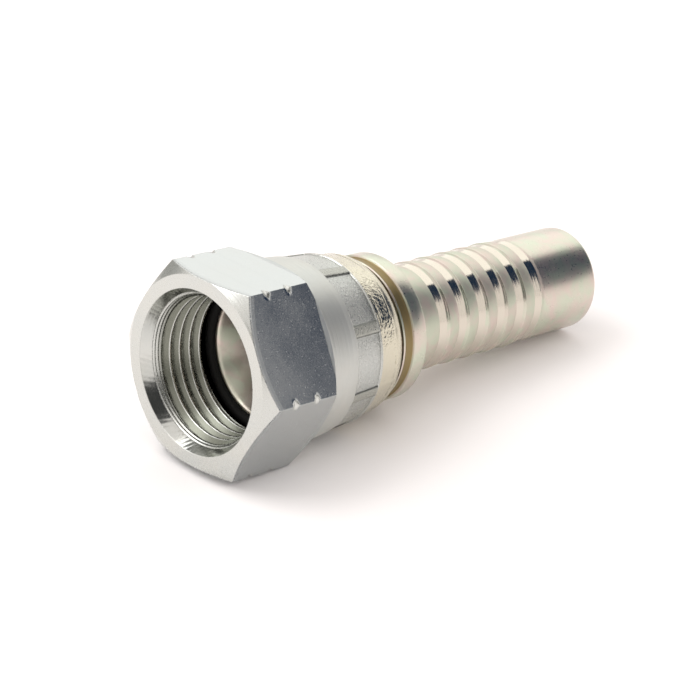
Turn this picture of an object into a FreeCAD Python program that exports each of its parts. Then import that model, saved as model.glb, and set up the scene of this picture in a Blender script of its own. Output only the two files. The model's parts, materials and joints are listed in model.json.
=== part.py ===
# Crimp hose fitting with a swivel nut, lying as it comes to rest.
# Every profile is drawn as (distance from the nut's face, radius) along one
# axis, then the whole fitting is leaned until the nut's bottom flat and the
# hose tail both touch the table.
import os
from math import atan, cos, degrees, radians, sin, tan

import FreeCAD
import Part

os.makedirs("parts", exist_ok=True)

# Swivel nut: hexagon. The face is turned a little wider than the flats.
HEX_SIDES = 6
ACROSS_FLATS = 24.0
FACE_OVER_FLATS = 0.05
FRONT_CHAMFER = 1.2
REAR_CORNER_S = 10.35
REAR_CHAMFER_SLOPE = 0.738
NICK_COUNT = 2
FIRST_NICK_S = 3.9
NICK_PITCH = 3.4
NICK_WIDTH = 0.94
NICK_DEPTH = 0.38

# Swivel nut: mouth, thread bore at the thread's major radius, and relief
THREAD_WALL = 2.4
COUNTERSINK_DEPTH = 0.73
THREAD_START_S = 1.44
THREAD_END_S = 9.2
RELIEF_DEPTH = 0.6
RELIEF_END_S = 12.2

# Swivel nut: skirt stepping in from the flats, closed by eight crimping dies
SKIRT_STEP = 0.15
SKIRT_TAPER = 0.25
SKIRT_SHOULDER_S = 14.4
SKIRT_ROUND = 0.3
SKIRT_BULGE = 0.05
BAND_START_S = 16.47
BAND_TAPER = 0.32
BAND_END_S = 20.8
DIE_COUNT = 8
DIE_DEPTH = 0.22
RIB_ANGLE = 7.3
FIRST_RIB_ANGLE = 16.4
REAR_ZONE_TAPER = 0.53
REAR_ZONE_END_S = 23.9
REAR_DIE_DEPTH = 0.07
LIP_TAPER = 0.3
LIP_ROUND = 0.35
NUT_END_S = 25.3

# Hose insert: nose with its flared seat, and the part held inside the nut
NOSE_S = 10.6
NOSE_UNDER_THREAD = 1.2
RIM_LAND = 0.4
SEAT_HALF_ANGLE = 37.0
BORE_R = 4.75
SHOULDER_S = 11.5
SHOULDER_EDGE = 0.35
HELD_OVER_THREAD = 0.05
HELD_END_S = 15.9
NECK_UNDER_HELD = 1.3
NECK_START_S = 19.0
RUNNING_GAP = 0.1

# Hose insert: ferrule locking groove between collar and flange
COLLAR_GAP = 0.8
COLLAR_WIDTH = 0.25
COLLAR_UNDER_FLANGE = 0.1
GROOVE_DEPTH = 0.35
GROOVE_FLOOR_END = 1.6
FLANGE_RISE = 0.2
FLANGE_UNDER_HELD = 0.1
FLANGE_WIDTH = 2.2
FLANGE_EDGE = 0.15

# Hose insert: ribbed tail and its plain end
END_R = 6.95
CREST_OVER_END = 0.17
LAND_END_OVER_END = 0.03
FLOOR_UNDER_END = 0.13
FLOOR_CLIMB = 0.11
TAIL_ROOT_ROUND = 0.3
FIRST_BAND = 5.04
FLOOR_WIDTH = 1.25
STEEP_RISE = 0.6
LAND_DROP = 0.12
RIB_PITCH = 3.62
TAIL_GROOVES = 6
PLAIN_END = 10.41
END_CHAMFER = 0.3

# Rubber ring round the nose
RING_SECTION = 1.6

AXIS_START = FreeCAD.Vector(0, 0, 0)
AXIS = FreeCAD.Vector(1, 0, 0)
LEAN_AXIS = FreeCAD.Vector(0, 1, 0)


def turned(points, angle=360):
    """Solid turned about the axis from a closed profile of (s, r) points."""
    corners = [FreeCAD.Vector(s, r, 0) for s, r in points]
    face = Part.Face(Part.makePolygon(corners + corners[:1]))
    return face.revolve(AXIS_START, AXIS, angle)


def arc_points(start, bulge, end, steps):
    """Points of the circle through three (s, r) points, ends left out."""
    through = [FreeCAD.Vector(s, r, 0) for s, r in (start, bulge, end)]
    return [(p.x, p.y) for p in Part.Arc(*through).discretize(steps + 1)[1:-1]]


# Hexagon bar with two flats level, cut to length by the turned outline below
flats_r = ACROSS_FLATS / 2
side_angle = radians(360 / HEX_SIDES)
corner_r = flats_r / cos(side_angle / 2)
hex_corners = []
for n in range(HEX_SIDES + 1):
    turn = n * side_angle
    hex_corners.append(FreeCAD.Vector(0, corner_r * cos(turn), corner_r * sin(turn)))
hex_bar = Part.Face(Part.makePolygon(hex_corners)).extrude(AXIS * NUT_END_S)

# Turned outline of the nut: front chamfer, rear chamfer and rounded skirt
flat_rear_s = REAR_CORNER_S + (corner_r - flats_r) * REAR_CHAMFER_SLOPE
skirt_top_r = flats_r - SKIRT_STEP
skirt_top_s = flat_rear_s + SKIRT_STEP * REAR_CHAMFER_SLOPE
skirt_shoulder_r = skirt_top_r - SKIRT_TAPER
band_start_r = skirt_shoulder_r - SKIRT_ROUND
band_end_r = band_start_r - BAND_TAPER
rear_zone_end_r = band_end_r - REAR_ZONE_TAPER
lip_r = rear_zone_end_r - LIP_TAPER
skirt_bulge = (
    (SKIRT_SHOULDER_S + BAND_START_S) / 2,
    (skirt_shoulder_r + band_start_r) / 2 + SKIRT_BULGE,
)
outline = [(0, 0), (0, flats_r + FACE_OVER_FLATS), (FRONT_CHAMFER, corner_r)]
outline += [(REAR_CORNER_S, corner_r), (skirt_top_s, skirt_top_r)]
outline += [(SKIRT_SHOULDER_S, skirt_shoulder_r)]
outline += arc_points(outline[-1], skirt_bulge, (BAND_START_S, band_start_r), 4)
outline += [(BAND_START_S, band_start_r), (BAND_END_S, band_end_r)]
outline += [(REAR_ZONE_END_S, rear_zone_end_r), (NUT_END_S - LIP_ROUND, lip_r)]
outline += [(NUT_END_S, lip_r - LIP_ROUND), (NUT_END_S, 0)]
nut = turned(outline).common(hex_bar)

# Two small V grooves turned round the hexagon, which reach only its corners
for n in range(NICK_COUNT):
    nick_s = FIRST_NICK_S + n * NICK_PITCH
    groove = [(nick_s, corner_r - NICK_DEPTH)]
    groove += [(nick_s + NICK_WIDTH, corner_r + NICK_DEPTH)]
    groove += [(nick_s - NICK_WIDTH, corner_r + NICK_DEPTH)]
    nut = nut.cut(turned(groove))

# The dies press the skirt in and leave eight narrow ribs between them
die_angle = 360 / DIE_COUNT
for n in range(DIE_COUNT):
    pressed = turned(
        [
            (BAND_START_S, band_start_r - DIE_DEPTH),
            (BAND_END_S, band_end_r - DIE_DEPTH),
            (BAND_END_S, band_start_r + DIE_DEPTH),
            (BAND_START_S, band_start_r + DIE_DEPTH),
        ],
        die_angle - RIB_ANGLE,
    )
    eased = turned(
        [
            (BAND_END_S + DIE_DEPTH, band_end_r - REAR_DIE_DEPTH),
            (REAR_ZONE_END_S, rear_zone_end_r - REAR_DIE_DEPTH),
            (REAR_ZONE_END_S, band_start_r),
            (BAND_END_S + DIE_DEPTH, band_start_r),
        ],
        die_angle - RIB_ANGLE,
    )
    for mark in (pressed, eased):
        mark.rotate(AXIS_START, AXIS, FIRST_RIB_ANGLE + RIB_ANGLE / 2 + n * die_angle)
        nut = nut.cut(mark)

# Radii of the insert inside the nut follow the thread it has to pass
thread_r = flats_r - THREAD_WALL
nose_r = thread_r - NOSE_UNDER_THREAD
held_r = thread_r + HELD_OVER_THREAD
neck_r = held_r - NECK_UNDER_HELD

# Inside of the nut: countersink, thread bore, relief, swivel bore, closed end
relief_r = thread_r + RELIEF_DEPTH
mouth_r = thread_r + COUNTERSINK_DEPTH
swivel_r = held_r + RUNNING_GAP
closed_r = neck_r + RUNNING_GAP
cavity = [(-RELIEF_DEPTH, 0), (-RELIEF_DEPTH, mouth_r), (0, mouth_r)]
cavity += [(THREAD_START_S, thread_r), (THREAD_END_S, thread_r)]
cavity += [(THREAD_END_S + RELIEF_DEPTH, relief_r), (RELIEF_END_S, relief_r)]
cavity += [(RELIEF_END_S + relief_r - swivel_r, swivel_r)]
cavity += [(HELD_END_S + RUNNING_GAP, swivel_r), (NECK_START_S + RUNNING_GAP, closed_r)]
cavity += [(NUT_END_S + RELIEF_DEPTH, closed_r), (NUT_END_S + RELIEF_DEPTH, 0)]
swivel_nut = nut.cut(turned(cavity))

# Hose insert, turned in one piece: nose, held shoulder and neck
rim_inner_r = nose_r - RIM_LAND
seat_end_s = NOSE_S + (rim_inner_r - BORE_R) / tan(radians(SEAT_HALF_ANGLE))
insert = [(NOSE_S, rim_inner_r), (NOSE_S, nose_r), (SHOULDER_S, nose_r)]
insert += [(SHOULDER_S, held_r - SHOULDER_EDGE), (SHOULDER_S + SHOULDER_EDGE, held_r)]
insert += [(HELD_END_S, held_r), (NECK_START_S, neck_r)]

# Collar, ferrule locking groove and flange
collar_s = NUT_END_S + COLLAR_GAP
flange_s = collar_s + GROOVE_FLOOR_END + FLANGE_RISE
flange_end_s = flange_s + FLANGE_WIDTH
flange_r = held_r - FLANGE_UNDER_HELD
collar_r = flange_r - COLLAR_UNDER_FLANGE
groove_r = flange_r - GROOVE_DEPTH
insert += [(collar_s, neck_r), (collar_s, collar_r), (collar_s + COLLAR_WIDTH, collar_r)]
insert += [(collar_s + COLLAR_WIDTH + collar_r - groove_r, groove_r)]
insert += [(collar_s + GROOVE_FLOOR_END, groove_r), (flange_s, flange_r)]
insert += [(flange_end_s - FLANGE_EDGE, flange_r), (flange_end_s, flange_r - FLANGE_EDGE)]

# Hose tail: shallow grooves, each with a floor that climbs and a steep rise after it,
# and a land between them that falls gently toward the tail end
crest_r = END_R + CREST_OVER_END
floor_r = END_R - FLOOR_UNDER_END
insert += [(flange_end_s, crest_r + TAIL_ROOT_ROUND), (flange_end_s + TAIL_ROOT_ROUND, crest_r)]
for n in range(TAIL_GROOVES):
    floor_s = flange_end_s + FIRST_BAND + n * RIB_PITCH
    rise_s = floor_s + FLOOR_WIDTH
    rise_r = crest_r if n < TAIL_GROOVES - 1 else END_R
    insert += [(floor_s - LAND_DROP, END_R + LAND_END_OVER_END), (floor_s, floor_r)]
    insert += [(rise_s, floor_r + FLOOR_CLIMB), (rise_s + STEEP_RISE, rise_r)]
tail_end_s = rise_s + STEEP_RISE + PLAIN_END
insert += [(tail_end_s - END_CHAMFER, END_R), (tail_end_s, END_R - END_CHAMFER)]
insert += [(tail_end_s, BORE_R + END_CHAMFER), (tail_end_s - END_CHAMFER, BORE_R)]
insert += [(seat_end_s, BORE_R)]
hose_insert = turned(insert)

# Rubber ring seated round the nose, against the shoulder
ring_centre = AXIS * (SHOULDER_S - RING_SECTION / 2)
o_ring = Part.makeTorus(nose_r + RING_SECTION / 2, RING_SECTION / 2, ring_centre, AXIS)

# Lean the fitting: rear edge of the nut's bottom flat and tail end on the table
tail_s = tail_end_s - END_CHAMFER
lean = atan((flats_r - END_R) / (tail_s - flat_rear_s))
lift = flats_r * cos(lean) + flat_rear_s * sin(lean)
pieces = {"hose_insert": hose_insert, "o_ring": o_ring, "swivel_nut": swivel_nut}
for shape in pieces.values():
    shape.rotate(AXIS_START, LEAN_AXIS, degrees(lean))
    shape.translate(FreeCAD.Vector(0, 0, lift))

# Origin on the table, under the middle of the fitting
whole = Part.makeCompound(list(pieces.values())).optimalBoundingBox(False)
for name, shape in pieces.items():
    shape.translate(FreeCAD.Vector(-(whole.XMin + whole.XMax) / 2, 0, 0))
    shape.exportStep("parts/" + name + ".step")
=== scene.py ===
# Crimp hose fitting lying on a white table, seen from the nut's side.
# Bright zinc plate on turned and drawn steel, a black rubber ring inside.
import json
import math

import bmesh
import bpy
from mathutils import Matrix, Vector, noise


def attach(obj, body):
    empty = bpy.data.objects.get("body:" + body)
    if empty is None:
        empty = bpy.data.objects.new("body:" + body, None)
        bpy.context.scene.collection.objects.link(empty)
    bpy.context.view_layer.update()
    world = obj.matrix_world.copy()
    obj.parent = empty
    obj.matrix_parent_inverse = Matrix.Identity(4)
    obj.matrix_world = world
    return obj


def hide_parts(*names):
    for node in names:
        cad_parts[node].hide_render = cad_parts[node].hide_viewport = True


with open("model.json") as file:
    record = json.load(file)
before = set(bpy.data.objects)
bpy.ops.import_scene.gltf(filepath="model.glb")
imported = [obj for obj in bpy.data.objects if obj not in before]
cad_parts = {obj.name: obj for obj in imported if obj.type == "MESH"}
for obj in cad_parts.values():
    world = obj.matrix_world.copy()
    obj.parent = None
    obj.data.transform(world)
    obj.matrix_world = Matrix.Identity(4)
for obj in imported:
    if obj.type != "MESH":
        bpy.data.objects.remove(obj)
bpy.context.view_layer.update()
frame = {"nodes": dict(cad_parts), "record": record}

# Swivel nut: a drawn steel hexagon with two small V nicks cut across every
# corner, a turned face and chamfers, and a skirt that eight dies have pressed
# in over the insert's shoulder, so that it hangs there and turns freely.

# Sizes are mm: s lies behind the nut's face and r off the axis. Angles are degrees.
JOINT_S = 13.7
HEX_R = 12.0
CORNER_R = HEX_R / math.cos(math.radians(30))
FACE_R = 12.05
FRONT_RING_S = 1.2
FRONT_CHAMFER_SLOPE = 1.505
HEX_END_S = 10.35
REAR_CHAMFER_SLOPE = 0.738
NICKS_S = (3.9, 7.3)
NICK_FLOOR_R = 13.48
NICK_HALF_WIDTH = 0.5
NICK_RISE = 0.4
BAND_S = (16.5, 20.8)
DIE_STEP = 360 / 8
DIE_DEPTH = 0.21
RIB_AT = 16.4
RIB_TOP = 3.2
RIB_FOOT = 4.2
CONE_S = (21.0, 23.95)
CONE_PRESS = 0.06
CONE_BEATEN = 0.05
# The cone's unevenness is noise, read along the axis and round a circle.
BEATEN_CIRCLE = 6.4
BEATEN_PER_MM = 1.1
# Beyond INSIDE_R a point is on the skirt's outside. TOUCH is how near counts as at.
INSIDE_R = 10.0
TOUCH = 0.01
SHARP_DEGREES = 24

swivel = frame["record"]["behaviour"]["joints"][0]
axis = Vector(swivel["axis"]).normalized()
face = Vector(swivel["pos_m"]) - axis * JOINT_S / 1000
lean = math.asin(-axis.z)
leaned = Matrix.Rotation(lean, 3, "Y")


def turned(name, profile, steps, form=None):
    """Closed outline of (s, r) points spun round the fitting's axis and then shaped.

    s is mm behind the nut's face and r mm off the axis. form gives a point's new
    (s, r) from its own and from its angle in degrees, which runs from +Y toward up.
    """
    made = bmesh.new()
    line = [made.verts.new(face + leaned @ Vector((s, r, 0)) / 1000) for s, r in profile]
    edges = [made.edges.new((line[i - 1], line[i])) for i in range(len(line))]
    bmesh.ops.spin(
        made, geom=line + edges, cent=face, axis=axis, angle=math.tau, steps=steps, use_merge=True
    )
    for vert in made.verts if form else ():
        s, y, z = leaned.inverted() @ (vert.co - face) * 1000
        degrees = round(math.degrees(math.atan2(z, y)) * steps / 360) * 360 / steps
        s, r = form(s, math.hypot(y, z), degrees)
        angle = math.radians(degrees)
        shaped = Vector((s, r * math.cos(angle), r * math.sin(angle)))
        vert.co = face + leaned @ shaped / 1000
    bmesh.ops.recalc_face_normals(made, faces=made.faces)
    for quad in made.faces:
        quad.smooth = True
    mesh = bpy.data.meshes.new(name)
    made.to_mesh(mesh)
    made.free()
    mesh.set_sharp_from_angle(angle=math.radians(SHARP_DEGREES))
    piece = bpy.data.objects.new(name, mesh)
    bpy.context.scene.collection.objects.link(piece)
    return piece


def smooth_step(value, low, high):
    """0 below low, 1 above high, eased between."""
    share = min(max((value - low) / (high - low), 0), 1)
    return share * share * (3 - 2 * share)


def nut_form(s, r, degrees):
    """Where a point of the nut's round blank ends up: hexagon, nicks, die marks."""
    side = HEX_R / math.cos(math.radians(degrees % 60 - 30))
    if s < TOUCH:
        return s, min(r, side)
    if r > HEX_R and s < FRONT_RING_S + 0.05:
        return max(0, (side - FACE_R) / FRONT_CHAMFER_SLOPE), side
    if r > HEX_R and s > HEX_END_S - TOUCH:
        return HEX_END_S + (CORNER_R - side) * REAR_CHAMFER_SLOPE, side
    if r > HEX_R:
        nick = min(NICK_FLOOR_R + abs(s - at) / NICK_HALF_WIDTH * NICK_RISE for at in NICKS_S)
        return s, min(side, nick)
    off_rib = abs((degrees - RIB_AT + DIE_STEP / 2) % DIE_STEP - DIE_STEP / 2)
    press = smooth_step(off_rib, RIB_TOP, RIB_FOOT)
    if r > INSIDE_R and BAND_S[0] < s < BAND_S[1]:
        return s, r - DIE_DEPTH * press
    if r > INSIDE_R and CONE_S[0] < s < CONE_S[1]:
        round_axis = BEATEN_CIRCLE * Matrix.Rotation(math.radians(degrees), 3, "X").col[1]
        beaten = noise.noise(Vector((s * BEATEN_PER_MM, round_axis.y, round_axis.z)))
        return s, r - press * (CONE_PRESS + CONE_BEATEN * beaten)
    return s, r


# The blank's outline. Face and hexagon, with rings close enough to bend at the nicks:
outline = [(0, 10.33), (0, 11.2), (0, FACE_R), (FRONT_RING_S, CORNER_R)]
nick_rings = [at + side * NICK_HALF_WIDTH for at in NICKS_S for side in (-1, 0, 1)]
for s in sorted([1.3 + 0.3 * k for k in range(31)] + nick_rings):
    outline.append((s, CORNER_R))
outline.append((HEX_END_S, CORNER_R))
# the step behind the hexagon, and the skirt:
outline += [(11.83, 11.85), (11.95, 11.8), (12.3, 11.76), (13.4, 11.67), (14.4, 11.6)]
outline += [(15.0, 11.55), (15.6, 11.48), (16.1, 11.38), (16.47, 11.3)]
# the band that the dies press, and the rear cone:
outline += [(16.52 + 4.26 * k / 18, 11.3 - 0.32 * k / 18) for k in range(19)]
outline += [(20.86, 10.97), (20.98, 10.94)]
outline += [(21.05 + 2.85 * k / 18, 10.93 - 0.48 * k / 18) for k in range(19)]
# the lip, the closed end round the neck, the bore on the shoulder, relief and thread root:
outline += [(24.1, 10.41), (24.6, 10.27), (24.95, 10.13), (25.2, 9.95), (25.3, 9.75)]
outline += [(25.3, 8.6), (25.2, 8.45), (19.1, 8.45), (16.0, 9.75), (12.65, 9.75)]
outline += [(12.2, 10.2), (9.8, 10.2), (9.2, 9.62), (1.42, 9.62)]
nut = turned("swivel_nut_finish", outline, 360, nut_form)
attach(nut, "nut")
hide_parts("swivel_nut")

# Nut's finish: bright zinc plate, dull and speckled on the drawn flats, lined
# where it is turned, scraped dull where the dies have rubbed the skirt, and
# beaten bright on the rear cone. The thread's flanks are painted darker as
# shade inside the bore, with a greenish tint.
nut_zinc = bpy.data.materials.new("Zinc plated steel, drawn and turned")
nut_zinc.use_nodes = True
tree = nut_zinc.node_tree

# Lines and grain are drawn coarser than real ones, which a pixel would hide.
GRAIN_PER_MM = 2.6
SPECKS_PER_MM = 5.0
CLOUDS_PER_MM = 0.22
LINES_PER_MM = 2.0
DENTS_PER_MM = 2.8
SCRAPES_PER_MM = 1.4
SCRAPE_STRETCH = (6.0, 1.2, 1.2)
CHATTER_MARKS = 88.0
CHATTER_SLANT = 4.0


def tint(code):
    """Linear colour of an sRGB hex code."""
    parts = [int(code[i : i + 2], 16) / 255 for i in (0, 2, 4)]
    return [p / 12.92 if p <= 0.04045 else ((p + 0.055) / 1.055) ** 2.4 for p in parts] + [1]


def add(kind, inputs=(), output=0, **settings):
    """Adds a node to the tree in hand, links or fills its inputs, and gives one output."""
    made = tree.nodes.new("ShaderNode" + kind)
    for name, value in settings.items():
        setattr(made, name, value)
    for socket, value in inputs.items() if isinstance(inputs, dict) else enumerate(inputs):
        if isinstance(value, bpy.types.NodeSocket):
            tree.links.new(value, made.inputs[socket])
        else:
            made.inputs[socket].default_value = value
    return made.outputs[output]


def fitting_measures():
    """Sockets: mm behind the nut's face, mm off the axis, angle round it, and the point."""
    point = add("Mapping", {
        "Vector": add("TexCoord", output="Object"),
        "Location": face,
        "Rotation": (0, lean, 0),
        "Scale": (0.001, 0.001, 0.001),
    }, vector_type="TEXTURE")
    behind, across, up = add("SeparateXYZ", (point,)).node.outputs
    flat_point = add("CombineXYZ", (0.0, across, up))
    radius = add("VectorMath", (flat_point,), "Value", operation="LENGTH")
    angle = add("Math", (up, across), operation="ARCTAN2")
    return behind, radius, angle, point


def between(value, low, high, soft=0.03):
    """1 where value lies between low and high, falling off over soft."""
    rise = add("MapRange", (value, low - soft, low + soft))
    fall = add("MapRange", (value, high - soft, high + soft))
    return add("Math", (rise, fall), operation="SUBTRACT")


def turning_lines(behind, radius, point, per_mm, detail):
    """Value of irregular lines that a lathe tool leaves round the axis."""
    sweep = add("Math", (radius, 1.37, behind), operation="MULTIPLY_ADD")
    waver = add("TexNoise", {"Vector": point, "Scale": 0.15})
    sweep = add("Math", (waver, 0.25, sweep), operation="MULTIPLY_ADD")
    sweep = add("Math", (sweep, per_mm), operation="MULTIPLY")
    return add("TexNoise", {"W": sweep, "Scale": 1.0, "Detail": detail}, noise_dimensions="1D")


def tinted(colour, *zones):
    """colour, mixed in each zone toward a hex code and as strongly as given."""
    for zone, strength, code in zones:
        share = add("Math", (zone, strength), operation="MULTIPLY")
        colour = add("Mix", {0: share, 6: colour, 7: tint(code)}, 2, data_type="RGBA")
    return colour


def adjusted(value, *zones):
    """value, with each zone's amount added where that zone is."""
    for zone, more in zones:
        value = add("Math", (zone, more, value), operation="MULTIPLY_ADD")
    return value


behind, radius, angle, point = fitting_measures()
normal = add("NewGeometry", output="True Normal")
facing = add("VectorMath", (normal, axis), "Value", operation="DOT_PRODUCT")
sideways = add("Math", (add("Math", (facing,), operation="ABSOLUTE"), 0.03), operation="LESS_THAN")
on_hexagon = add("Math", (radius, HEX_R - 0.04), operation="GREATER_THAN")
flat = add("Math", (sideways, on_hexagon), operation="MULTIPLY")
edge_s = add("Math", (radius, FACE_R), operation="SUBTRACT")
edge_s = add("Math", (edge_s, FRONT_CHAMFER_SLOPE), operation="DIVIDE")
edge_s = add("Math", (edge_s, 0.0), operation="MAXIMUM")
from_edge = add("Math", (behind, edge_s), operation="SUBTRACT")
rolled = add("Math", (between(from_edge, -1.0, 0.75, 0.1), flat), operation="MULTIPLY")
burr = add("Math", (between(from_edge, -1.0, 0.22, 0.04), flat), operation="MULTIPLY")
faced = add("Math", (behind, 0.03), operation="LESS_THAN")
skirt = between(behind, 11.0, 16.45)
rubbed = between(behind, *BAND_S)
rough_cone = between(behind, 20.9, 23.8, 0.15)
rear = between(behind, 20.95, 25.4)
front = add("Math", (behind, 1.4), operation="LESS_THAN")
inner = add("Math", (radius, 10.3), operation="LESS_THAN")
countersink = add("Math", (front, inner), operation="MULTIPLY")
# Mask of the thread inside the bore. Its base colour is painted darker there as shade inside the
# bore, with a greenish tint.
thread_zone_painted_shade = between(behind, 2.2, 9.2, 0.4)
thread_zone_painted_shade = add("Math", (thread_zone_painted_shade, between(radius, 8.93, 9.9)), operation="MULTIPLY")
# Mask of the relief groove behind the thread. It is painted nearly black there, as the groove's
# shade.
relief_painted_shade = add("Math", (between(behind, 9.2, 12.6), inner), operation="MULTIPLY")
degrees = add("Math", (angle, 180 / math.pi, DIE_STEP / 2 - RIB_AT), operation="MULTIPLY_ADD")
degrees = add("Math", (degrees, DIE_STEP), operation="FLOORED_MODULO")
off_rib = add("Math", (degrees, DIE_STEP / 2), operation="SUBTRACT")
off_rib = add("Math", (off_rib,), operation="ABSOLUTE")
# The die marks' sloping walls are painted dark there, as shade in the creases.
crease_painted_shade = add("Math", (between(off_rib, 3.3, 4.3, 0.4), rubbed), operation="MULTIPLY")
rib = add("Math", (off_rib, 3.4), operation="LESS_THAN")
rib = add("Math", (rib, rubbed), operation="MULTIPLY")

grain = {"Vector": point, "Scale": GRAIN_PER_MM, "Detail": 6.0, "Roughness": 0.75}
grain = add("TexNoise", grain)
speck = add("TexNoise", {"Vector": point, "Scale": SPECKS_PER_MM, "Detail": 2.0})
speck = add("MapRange", (speck, 0.66, 0.72))
cloud = add("TexNoise", {"Vector": point, "Scale": CLOUDS_PER_MM, "Detail": 3.0})
colour = add("Mix", {0: cloud, 6: tint("C6CAC8"), 7: tint("D0CFC8")}, 2, data_type="RGBA")
colour = tinted(
    colour,
    (flat, 0.65, "B4B9BB"),
    (rubbed, 0.5, "B2B5B2"),
    (rear, 0.7, "CFC7AE"),
    (rib, 0.5, "A0A094"),
    # painted shade: the creases at the die marks' edges are darkened toward 4E504A
    (crease_painted_shade, 0.85, "4E504A"),
    # painted shade: the thread inside the bore is darkened toward 7C7E74
    (thread_zone_painted_shade, 1.0, "7C7E74"),
    # painted shade: the relief groove behind the thread is painted nearly black
    (relief_painted_shade, 1.0, "3C3C38"),
)

# Relief of the finish. Turning lines run everywhere but on the flats, and are
# deepest on the skirt. The countersink also has the tool's slanted chatter.
lathe = turning_lines(behind, radius, point, LINES_PER_MM, 2.0)
chatter = add("Math", (behind, CHATTER_SLANT), operation="MULTIPLY")
chatter = add("Math", (angle, CHATTER_MARKS, chatter), operation="MULTIPLY_ADD")
chatter = add("Math", (chatter,), operation="SINE")
chatter = add("Math", (chatter, countersink), operation="MULTIPLY")
lathe = add("Math", (chatter, 0.25, lathe), operation="MULTIPLY_ADD")
depth = adjusted(1.0, (flat, -1.0), (skirt, 4.0), (faced, 1.5))
height = add("Math", (lathe, depth), operation="MULTIPLY")
grain_depth = adjusted(0.25, (flat, -0.1), (faced, -0.2))
height = add("Math", (grain, grain_depth, height), operation="MULTIPLY_ADD")
dents = {"Vector": point, "Scale": DENTS_PER_MM, "Detail": 2.0, "Distortion": 0.4}
dents = add("TexNoise", dents)
dent_depth = adjusted(0.0, (rubbed, 4.0), (rough_cone, 6.5), (burr, 14.0))
height = add("Math", (dents, dent_depth, height), operation="MULTIPLY_ADD")
drawn_out = add("VectorMath", (point, SCRAPE_STRETCH), operation="MULTIPLY")
scrapes = add("TexNoise", {"Vector": drawn_out, "Scale": SCRAPES_PER_MM, "Detail": 4.0})
scrape_depth = add("Math", (rubbed, 9.0), operation="MULTIPLY")
height = add("Math", (scrapes, scrape_depth, height), operation="MULTIPLY_ADD")
smoother = adjusted(1.0, (thread_zone_painted_shade, -0.9), (relief_painted_shade, -0.9))
height = add("Math", (height, smoother), operation="MULTIPLY")
edges = add("Bevel", {"Radius": 0.00012}, samples=6)
bump = add("Bump", {"Strength": 0.3, "Distance": 0.00005, "Height": height, "Normal": edges})
rough = add("Math", (grain, 0.14, 0.2), operation="MULTIPLY_ADD")
flat_speck = add("Math", (speck, flat), operation="MULTIPLY")
flat_cloud = add("Math", (cloud, flat), operation="MULTIPLY")
rough = adjusted(
    rough,
    (skirt, 0.2),
    (rubbed, 0.01),
    (rough_cone, -0.14),
    (countersink, -0.1),
    (flat, -0.16),
    (flat_speck, 0.25),
    (flat_cloud, 0.12),
    (rolled, 0.12),
)
shader = tree.nodes["Principled BSDF"]
shader.inputs["Metallic"].default_value = 1.0
tree.links.new(colour, shader.inputs["Base Color"])
tree.links.new(rough, shader.inputs["Roughness"])
tree.links.new(bump, shader.inputs["Normal"])
nut.data.materials.append(nut_zinc)

# Nut thread: right-hand ridge of 1.588 mm pitch cut in the nut's bore, from the
# countersink, whose tool has left fine steps on the first turns, to the relief.
# Its crest is narrower than a standard one, as it looks in the photo.
PITCH = 1.5875
ROOT_R = 9.58
CREST_R = 8.84
FIRST_CREST_S = 0.55
CREST_HALF = PITCH / 13
ROOT_HALF = 0.06
START_S = 1.44
END_S = 9.2
THREAD_STEPS = 142
COUNTERSINK_R = 9.6
COUNTERSINK_SLOPE = 0.507
TOOL_STEP = 0.36
TOOL_STEP_HEIGHT = 0.05
SKIN = 0.03


def ridge(s, r, degrees):
    """Where a point of the plain bore ends up once the thread is cut."""
    if r > ROOT_R + TOUCH:
        return s, r
    turns = (s - FIRST_CREST_S) / PITCH - degrees / 360
    off_crest = abs(turns - round(turns)) * PITCH
    share = (off_crest - CREST_HALF) / (PITCH / 2 - CREST_HALF - ROOT_HALF)
    cut = CREST_R + (ROOT_R - CREST_R) * min(max(share, 0), 1)
    tool_step = TOOL_STEP_HEIGHT * abs(math.sin(math.pi * s / TOOL_STEP))
    trimmed = COUNTERSINK_R - COUNTERSINK_SLOPE * (s - START_S) - tool_step
    return s, min(max(cut, trimmed), ROOT_R)


outline = []
for i in range(THREAD_STEPS + 1):
    outline.append((START_S + (END_S - START_S) * i / THREAD_STEPS, ROOT_R))
outline += [(END_S, ROOT_R + SKIN), (START_S, ROOT_R + SKIN)]
nut_thread = turned("nut_thread", outline, 360, ridge)
nut_thread.data.materials.append(nut_zinc)
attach(nut_thread, "nut")

# Hose insert: one turned steel piece, from the flared seat in the nut to the
# hose tail. Its ribs are sawtooth shaped, each groove's floor runs up a little
# toward the tail, and a ferrule locks in the groove before the flange.
BORE_R = 4.75
TAIL_R = 6.95
RIDGE_R = 7.12
GROOVES = 6
FIRST_GROOVE_S = 35.14
GROOVE_PITCH = 3.62
FLOOR_LENGTH = 1.25
FLOOR_R = 6.81
FLOOR_CLIMB = 0.12
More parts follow.
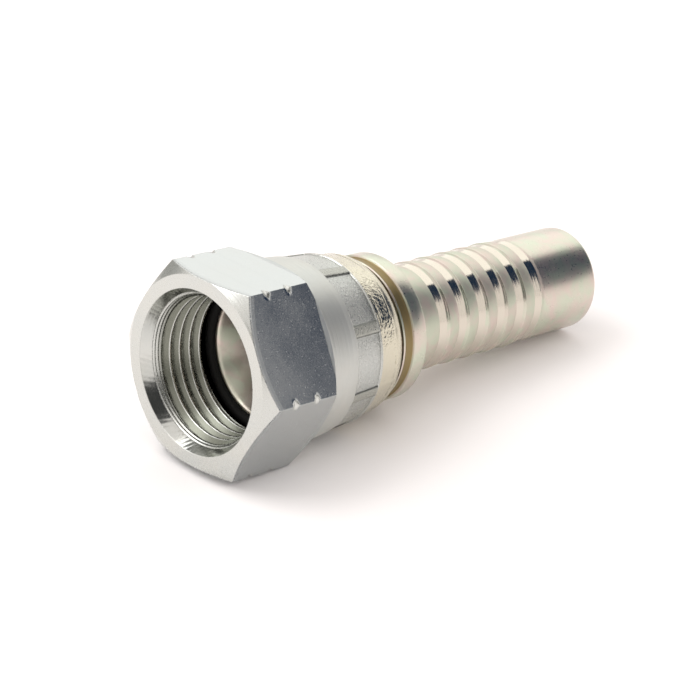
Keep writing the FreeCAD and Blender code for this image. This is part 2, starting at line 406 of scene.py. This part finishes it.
# From the seat over the nose's rim to the shoulder and neck, collar, groove and flange:
outline = [(11.0, 7.7), (10.86, 7.82), (10.75, 7.92), (10.66, 8.03), (10.61, 8.14), (10.6, 8.25)]
outline += [(10.6, 8.35), (10.66, 8.4), (11.5, 8.4), (11.5, 9.3), (11.85, 9.65), (15.9, 9.65)]
outline += [(19.0, 8.35), (26.1, 8.35), (26.1, 9.4), (26.16, 9.45), (26.35, 9.45), (26.5, 9.3)]
outline += [(26.65, 9.23), (27.0, 9.2), (27.6, 9.22), (27.82, 9.35), (27.9, 9.5), (27.97, 9.55)]
outline += [(29.9, 9.55), (30.02, 9.5), (30.1, 9.38), (30.1, 7.5), (30.16, 7.28), (30.4, 7.13)]
for n in range(GROOVES):
    start = FIRST_GROOVE_S + GROOVE_PITCH * n
    foot = FLOOR_R + FLOOR_CLIMB
    crest = RIDGE_R if n < GROOVES - 1 else TAIL_R
    outline.append((start - 1.0, 7.04) if n else (33.0, 7.1))
    outline += [(start - 0.2, 6.99), (start - 0.08, 6.95)]
    outline += [(start + FLOOR_LENGTH * k / 5, FLOOR_R + FLOOR_CLIMB * k / 5) for k in range(6)]
    for k in range(1, 7):
        rise = (crest - foot) * smooth_step(k, 0, 6)
        outline.append((start + FLOOR_LENGTH + 0.1 * k, foot + rise))
# The tail's plain end, and the bore back to the seat's cone:
outline += [(60.0, TAIL_R), (65.0, 6.94), (65.25, 6.9), (65.42, 6.8), (65.5, 6.65)]
outline += [(65.5, 5.05), (65.2, BORE_R), (14.93, BORE_R)]
insert = turned("hose_insert_finish", outline, 240)
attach(insert, "insert")
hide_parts("hose_insert")

# Insert's finish: zinc plate with a faint pink and green passivation tint,
# golden and dark in the ferrule groove, where the gold is the passivation's own
# and the darkness is painted shade of the deep groove, a little stained on the
# seat, and polished on the floors of the tail's grooves, where the tool's edge
# has burnished them.
SHEEN_PER_MM = 0.35
STAINS_PER_MM = 0.5
FINE_GRAIN_PER_MM = 3.0
TAIL_LINES_PER_MM = 2.4
insert_zinc = bpy.data.materials.new("Zinc plated steel, passivated and turned")
insert_zinc.use_nodes = True
tree = insert_zinc.node_tree
behind, radius, _, point = fitting_measures()
outside = add("Math", (radius, 6.5), operation="GREATER_THAN")
# Mask of the ferrule groove. Its golden tint is the passivation's own, and its darkening is
# painted shade of the deep groove.
groove_gold_and_painted_shade = add("Math", (between(behind, 26.5, 27.8, 0.06), outside), operation="MULTIPLY")
nose = add("Math", (behind, 16.0), operation="LESS_THAN")
tail = between(behind, 30.2, 55.0)
grooves = add("Math", (between(behind, 35.1, 54.6), outside), operation="MULTIPLY")
step = add("Math", (behind, FIRST_GROOVE_S), operation="SUBTRACT")
step = add("Math", (step, GROOVE_PITCH), operation="FLOORED_MODULO")
floor = add("Math", (between(step, 0.0, FLOOR_LENGTH + 0.02, 0.02), grooves), operation="MULTIPLY")
rise = between(step, FLOOR_LENGTH + 0.02, FLOOR_LENGTH + 0.5, 0.05)
rise = add("Math", (rise, grooves), operation="MULTIPLY")

sheen = {"Vector": point, "Scale": SHEEN_PER_MM, "Detail": 4.0, "Distortion": 0.6}
sheen = add("MapRange", (add("TexNoise", sheen), 0.38, 0.62))
stain = add("TexNoise", {"Vector": point, "Scale": STAINS_PER_MM, "Detail": 3.0})
stain = add("MapRange", (stain, 0.5, 0.6))
nose_stain = add("Math", (nose, stain), operation="MULTIPLY")
colour = add("Mix", {0: sheen, 6: tint("C8CCBA"), 7: tint("D3C6BC")}, 2, data_type="RGBA")
colour = tinted(
    # the ferrule groove's 90805C is the passivation's gold plus painted shade of the groove
    colour, (groove_gold_and_painted_shade, 1.0, "90805C"), (nose_stain, 0.3, "AA9C8C"), (floor, 1.0, "D2CBBE")
)

lathe = turning_lines(behind, radius, point, TAIL_LINES_PER_MM, 3.0)
fine = add("TexNoise", {"Vector": point, "Scale": FINE_GRAIN_PER_MM, "Detail": 4.0})
height = add("Math", (lathe, adjusted(1.0, (nose, 2.0))), operation="MULTIPLY")
height = add("Math", (fine, 0.3, height), operation="MULTIPLY_ADD")
height = add("Math", (height, adjusted(1.0, (floor, -0.3))), operation="MULTIPLY")
edges = add("Bevel", {"Radius": 0.00007}, samples=6)
bump = add("Bump", {"Strength": 0.25, "Distance": 0.00005, "Height": height, "Normal": edges})
rough = add("Math", (fine, 0.1, 0.24), operation="MULTIPLY_ADD")
rough = adjusted(rough, (tail, 0.16), (groove_gold_and_painted_shade, 0.12), (nose, 0.02), (floor, -0.34), (rise, -0.24))
shader = tree.nodes["Principled BSDF"]
shader.inputs["Metallic"].default_value = 1.0
tree.links.new(colour, shader.inputs["Base Color"])
tree.links.new(rough, shader.inputs["Roughness"])
tree.links.new(bump, shader.inputs["Normal"])
insert.data.materials.append(insert_zinc)

# Ring round the insert's nose: moulded black rubber, seated on the shoulder,
# matt with hardly a highlight.
rubber = bpy.data.materials.new("Black rubber")
rubber.use_nodes = True
shader = rubber.node_tree.nodes["Principled BSDF"]
shader.inputs["Base Color"].default_value = tint("111110")
shader.inputs["Roughness"].default_value = 0.7
shader.inputs["Specular IOR Level"].default_value = 0.3
ring = frame["nodes"]["o_ring"]
ring.data.materials.clear()
ring.data.materials.append(rubber)

# White table: a smooth matt board, 3 m wide so that its edge is never seen.
TABLE_HALF_M = 1.5
made = bmesh.new()
bmesh.ops.create_grid(made, x_segments=1, y_segments=1, size=TABLE_HALF_M)
table_mesh = bpy.data.meshes.new("table")
made.to_mesh(table_mesh)
made.free()
table = bpy.data.objects.new("table", table_mesh)
bpy.context.scene.collection.objects.link(table)
white = bpy.data.materials.new("White board")
white.use_nodes = True
shader = white.node_tree.nodes["Principled BSDF"]
shader.inputs["Base Color"].default_value = tint("FBF9F9")
shader.inputs["Roughness"].default_value = 0.9
shader.inputs["Specular IOR Level"].default_value = 0.1
table.data.materials.append(white)

# What stands round the light tent and is only seen mirrored in the metal: a
# bright panel, dark openings and grey sides. Corners are (azimuth, elevation)
# from the fitting, set until the reflections fell where the real ones do.
CARD_M = 2.0
for name, code, strength, corners in (
    ("bright_back", "FFFEFA", 1.5, [
        (56, 8), (56, 56), (-10, 56), (-10, 44), (4, 34), (10, 14)
    ]),
    ("dark_right", "2C4260", 0.65, [
        (-11, 56), (-34, 52), (-44, 36), (-46, 24), (-48, 12),
        (-50, 4), (-36, 4), (-6, 12), (0, 34), (-11, 44)
    ]),
    ("dark_front", "7C7C78", 0.9, [
        (-65, 4), (-63, 34), (-52, 62), (-86, 62), (-92, 4)
    ]),
    ("dark_above_camera", "4A4A4A", 0.7, [
        (-138, 18), (-112, 18), (-96, 36), (-84, 60), (-80, 82), (-130, 80), (-142, 56)
    ]),
    ("grey_left", "B0AEA8", 1.0, [(-152, 2), (-150, 24), (168, 22), (168, 2)]),
    ("grey_far", "A4A4A0", 1.0, [(116, -2), (116, 18), (84, 18), (84, -2)]),
):
    made = bmesh.new()
    rim = []
    for azimuth, elevation in corners:
        turn, climb = math.radians(azimuth), math.radians(elevation)
        level = Vector((math.cos(turn), math.sin(turn), 0)) * math.cos(climb)
        rim.append(made.verts.new(CARD_M * (level + Vector((0, 0, math.sin(climb))))))
    made.faces.new(rim)
    mesh = bpy.data.meshes.new(name)
    made.to_mesh(mesh)
    made.free()
    card = bpy.data.objects.new(name, mesh)
    bpy.context.scene.collection.objects.link(card)
    glow = bpy.data.materials.new(name)
    glow.use_nodes = True
    tree = glow.node_tree
    tree.nodes.clear()
    light = add("Emission", (tint(code), strength))
    tree.links.new(light, tree.nodes.new("ShaderNodeOutputMaterial").inputs["Surface"])
    mesh.materials.append(glow)
    card.visible_camera = False
    card.visible_diffuse = False
    card.visible_shadow = False

# Soft light from the tent all round and one large lamp above, behind and left.
world = bpy.data.worlds.new("Tent")
world.use_nodes = True
world.node_tree.nodes["Background"].inputs["Color"].default_value = tint("FFFAF7")
world.node_tree.nodes["Background"].inputs["Strength"].default_value = 1.05
bpy.context.scene.world = world
lamp_data = bpy.data.lights.new("overhead", "AREA")
lamp_data.shape = "RECTANGLE"
lamp_data.size = 0.5
lamp_data.size_y = 0.4
lamp_data.energy = 1.5
lamp = bpy.data.objects.new("overhead", lamp_data)
bpy.context.scene.collection.objects.link(lamp)
lamp.location = (-0.25, 0.28, 0.5)
lamp.rotation_mode = "QUATERNION"
lamp.rotation_quaternion = lamp.location.to_track_quat("Z", "Y")

# Camera at the photo's place, fitted to the thread's crests and the hexagon. The
# fitting's other sizes were then measured against it.
camera_data = bpy.data.cameras.new("camera")
camera_data.sensor_width = 36
camera_data.lens = 128.57
camera_data.clip_start = 0.01
camera = bpy.data.objects.new("camera", camera_data)
bpy.context.scene.collection.objects.link(camera)
camera.location = (-0.20671, -0.20393, 0.14666)
camera.rotation_euler = [math.radians(a) for a in (64.110, -1.801, -43.604)]
bpy.context.scene.camera = camera
bpy.context.scene.view_settings.view_transform = "Standard"
